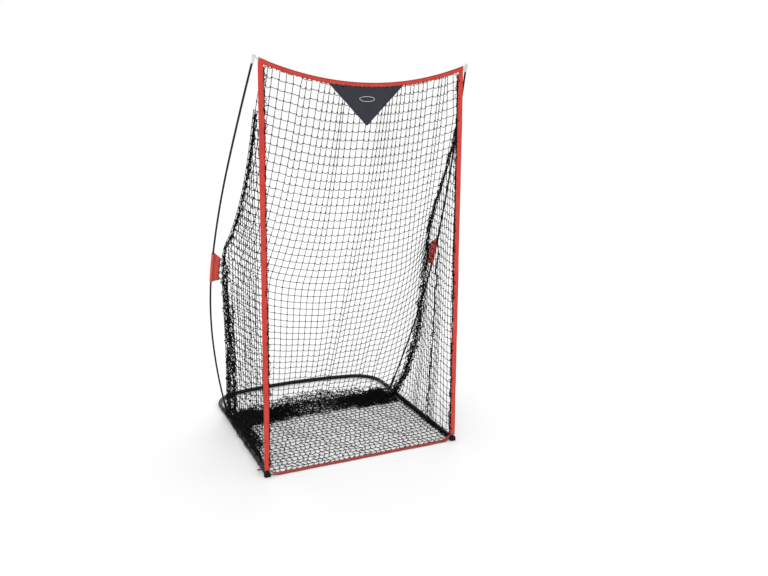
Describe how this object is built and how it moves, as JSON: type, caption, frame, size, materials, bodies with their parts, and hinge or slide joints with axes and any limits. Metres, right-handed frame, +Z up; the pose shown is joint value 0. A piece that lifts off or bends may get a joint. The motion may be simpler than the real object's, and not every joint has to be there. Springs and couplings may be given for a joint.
{
  "type": "pitching target net",
  "caption": "Tall free-standing sports catch net: knotted net bag between two bowed poles on a flat U-shaped tube base, with fabric trims round the opening.",
  "frame": {"origin": "on the floor, under the middle of the object's bounding box", "axes": "+X to the right as seen from the open front, +Y from the opening to the rear, +Z up; the opening faces -Y"},
  "size_m": [1.621, 1.5329, 2.4383],
  "materials": {
    "black_tube": "satin",
    "steel": "satin",
    "foot_rubber": "matte",
    "black_pole": "satin",
    "splice_alloy": "satin",
    "tip_plastic": "satin",
    "pale_cord": "matte",
    "black_cord": "matte",
    "strap_webbing": "matte",
    "red_fabric": "matte",
    "pennant_fabric": "matte",
    "net_cord": "matte"
  },
  "bodies": {
    "frame": {"left_side_rail": "black_tube", "right_side_rail": "black_tube", "left_corner_tube": "black_tube", "right_corner_tube": "black_tube", "rear_bar": "black_tube", "left_pole_socket": "black_tube", "right_pole_socket": "black_tube", "left_hook_pin": "black_tube", "right_hook_pin": "black_tube", "left_rail_button_spring": "steel", "right_rail_button_spring": "steel", "left_bar_button_spring": "steel", "right_bar_button_spring": "steel", "left_foot_cap": "foot_rubber", "right_foot_cap": "foot_rubber", "left_pole_section_1": "black_pole", "right_pole_section_1": "black_pole", "left_pole_section_2": "black_pole", "right_pole_section_2": "black_pole", "left_pole_section_3": "black_pole", "right_pole_section_3": "black_pole", "left_pole_section_4": "black_pole", "right_pole_section_4": "black_pole", "left_pole_splices": "splice_alloy", "right_pole_splices": "splice_alloy", "left_pole_tip": "tip_plastic", "right_pole_tip": "tip_plastic", "left_tip_loop": "pale_cord", "right_tip_loop": "pale_cord", "left_hook_loop": "black_cord", "right_hook_loop": "black_cord", "left_rail_ties": "black_cord", "right_rail_ties": "black_cord", "left_sleeve_lacing": "black_cord", "right_sleeve_lacing": "black_cord", "left_rear_rope": "black_cord", "right_rear_rope": "black_cord", "left_corner_strap": "strap_webbing", "right_corner_strap": "strap_webbing", "left_pole_sleeve": "red_fabric", "right_pole_sleeve": "red_fabric", "left_side_trim": "red_fabric", "right_side_trim": "red_fabric", "top_trim": "red_fabric", "bottom_trim": "red_fabric", "pennant": "pennant_fabric", "left_side_net": "net_cord", "right_side_net": "net_cord", "back_net": "net_cord", "floor_net": "net_cord"},
    "left_rail_button": {"left_rail_snap_button": "steel"},
    "right_rail_button": {"right_rail_snap_button": "steel"},
    "left_bar_button": {"left_bar_snap_button": "steel"},
    "right_bar_button": {"right_bar_snap_button": "steel"}
  },
  "joints": [
    {"name": "left_rail_button_press", "type": "slide", "parent": "frame", "child": "left_rail_button", "axis": [0, 0, -1], "range_m": [0, 0.0052], "stiffness_N_per_m": 1500, "springref_m": -0.002, "deforming": ["left_rail_button_spring"]},
    {"name": "right_rail_button_press", "type": "slide", "parent": "frame", "child": "right_rail_button", "axis": [0, 0, -1], "range_m": [0, 0.0052], "stiffness_N_per_m": 1500, "springref_m": -0.002, "deforming": ["right_rail_button_spring"]},
    {"name": "left_bar_button_press", "type": "slide", "parent": "frame", "child": "left_bar_button", "axis": [0, 0, -1], "range_m": [0, 0.0052], "stiffness_N_per_m": 1500, "springref_m": -0.002, "deforming": ["left_bar_button_spring"]},
    {"name": "right_bar_button_press", "type": "slide", "parent": "frame", "child": "right_bar_button", "axis": [0, 0, -1], "range_m": [0, 0.0052], "stiffness_N_per_m": 1500, "springref_m": -0.002, "deforming": ["right_bar_button_spring"]}
  ]
}
